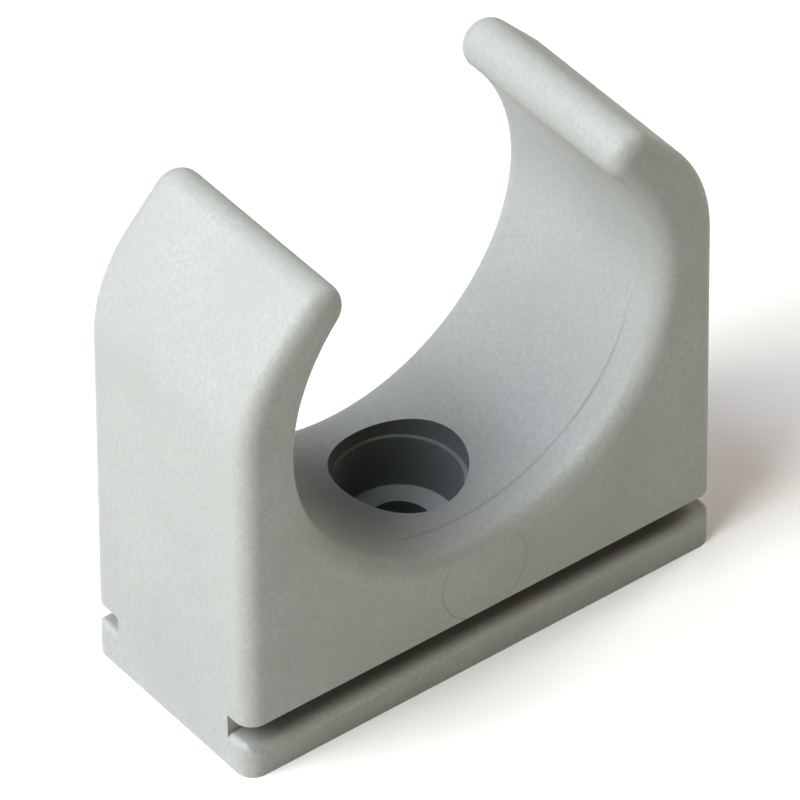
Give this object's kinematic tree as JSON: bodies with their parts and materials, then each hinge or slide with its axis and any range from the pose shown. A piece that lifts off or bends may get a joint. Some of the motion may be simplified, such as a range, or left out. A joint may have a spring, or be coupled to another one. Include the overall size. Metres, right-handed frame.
{
  "type": "pipe clip",
  "caption": "Moulded plastic snap-in pipe clip with an open round cradle, two rounded arm tips, a stepped screw seat in the cradle floor and a slotted foot.",
  "frame": {"origin": "middle of the foot's underside, which is the fixing face", "axes": "+Z from the fixing face to the open mouth, +Y along the pipe, +X across the cradle along the foot's slots"},
  "size_m": [0.0422, 0.0184, 0.0409],
  "materials": {
    "grey_plastic": "light grey moulded plastic, satin, fine mould texture"
  },
  "bodies": {
    "root": {"pipe_clip": "grey_plastic"}
  },
  "joints": []
}
